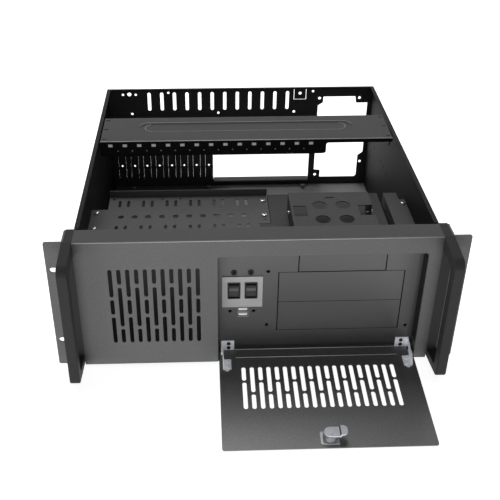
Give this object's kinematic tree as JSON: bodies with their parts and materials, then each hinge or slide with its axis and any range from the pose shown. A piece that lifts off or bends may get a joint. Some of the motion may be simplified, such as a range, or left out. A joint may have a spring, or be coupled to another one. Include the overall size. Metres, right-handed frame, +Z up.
{
  "type": "rackmount server case",
  "caption": "Empty four-unit rackmount server case, lid off, with cast front handles, slotted grille, drop-down lockable slotted door, drive cages and a hold-down bar.",
  "frame": {"origin": "middle of the four rack slots, on the back face of the ears that lies against the rack rail", "axes": "+X to the right seen from the front, +Y from the front panel to the rear panel, +Z up"},
  "size_m": [0.4826, 0.58, 0.185],
  "materials": {
    "powder_black": "fine-textured black powder coat",
    "panel_grey": "satin dark grey powder coat",
    "door_black": "fine-textured black powder coat",
    "cover_black": "satin black powder coat",
    "bar_grey": "fine-textured dark grey powder coat",
    "handle_grey": "smooth dark grey paint",
    "zinc": "zinc-plated sheet",
    "dark_steel": "blackened steel fasteners",
    "lock_chrome": "bright chrome plate",
    "cam_steel": "dull zinc plate",
    "plate_grey": "light grey plastic",
    "bezel_black": "black plastic",
    "rocker_black": "black plastic, slightly glossy",
    "lamp_dark": "unlit lamp lens",
    "port_steel": "nickel-plated shell",
    "tongue_white": "white plastic",
    "brass_post": "turned brass",
    "foot_rubber": "black rubber"
  },
  "bodies": {
    "chassis": {"bar_ledges": "powder_black", "bay_cover_lower": "cover_black", "bay_cover_small": "cover_black", "bay_cover_upper": "cover_black", "bay_panel": "powder_black", "cage_screws": "dark_steel", "card_ledge": "powder_black", "chassis_tray": "powder_black", "drive_cage_large": "powder_black", "drive_cage_small": "powder_black", "front_panel": "panel_grey", "handle_bolts": "dark_steel", "handle_left": "handle_grey", "handle_right": "handle_grey", "hinge_bracket_left": "zinc", "hinge_bracket_right": "zinc", "hinge_bracket_rivets": "dark_steel", "hold_down_bar": "bar_grey", "led_holders": "bezel_black", "led_lamps": "lamp_dark", "left_drive_shelf": "powder_black", "motherboard_posts": "brass_post", "power_bezel": "bezel_black", "rack_ear_left": "panel_grey", "rack_ear_right": "panel_grey", "rear_panel": "powder_black", "reset_bezel": "bezel_black", "right_shelf_bracket": "powder_black", "rubber_feet": "foot_rubber", "shelf_screws": "dark_steel", "switch_plate": "plate_grey", "usb_port": "port_steel", "usb_port_tongues": "tongue_white"},
    "door": {"door": "door_black", "hinge_leaf_left": "zinc", "hinge_leaf_right": "zinc", "hinge_pins": "dark_steel", "hinge_leaf_rivets": "zinc", "lock_barrel": "lock_chrome", "lock_clip": "lock_chrome"},
    "lock": {"lock_plug": "lock_chrome", "lock_cam": "cam_steel", "lock_cam_bolt": "cam_steel"},
    "power_key": {"power_rocker": "rocker_black"},
    "reset_key": {"reset_rocker": "rocker_black"}
  },
  "joints": [
    {"name": "door_hinge", "type": "hinge", "parent": "chassis", "child": "door", "pos_m": [0.0735, 0.0002, -0.078], "axis": [-1, 0, 0], "range_deg": [0, 94.6]},
    {"name": "lock_turn", "type": "hinge", "parent": "door", "child": "lock", "pos_m": [0.0735, -0.13006, -0.09249], "axis": [0, 0.0802, -0.9968], "range_deg": [0, 90]},
    {"name": "power_press", "type": "hinge", "parent": "chassis", "child": "power_key", "pos_m": [-0.0275, 0.015, 0.0069], "axis": [-1, 0, 0], "range_deg": [0, 8], "stiffness_Nm_per_rad": 0.05, "springref_deg": -5.73},
    {"name": "reset_press", "type": "hinge", "parent": "chassis", "child": "reset_key", "pos_m": [-0.0072, 0.015, 0.0069], "axis": [-1, 0, 0], "range_deg": [0, 8], "stiffness_Nm_per_rad": 0.05, "springref_deg": -5.73}
  ]
}
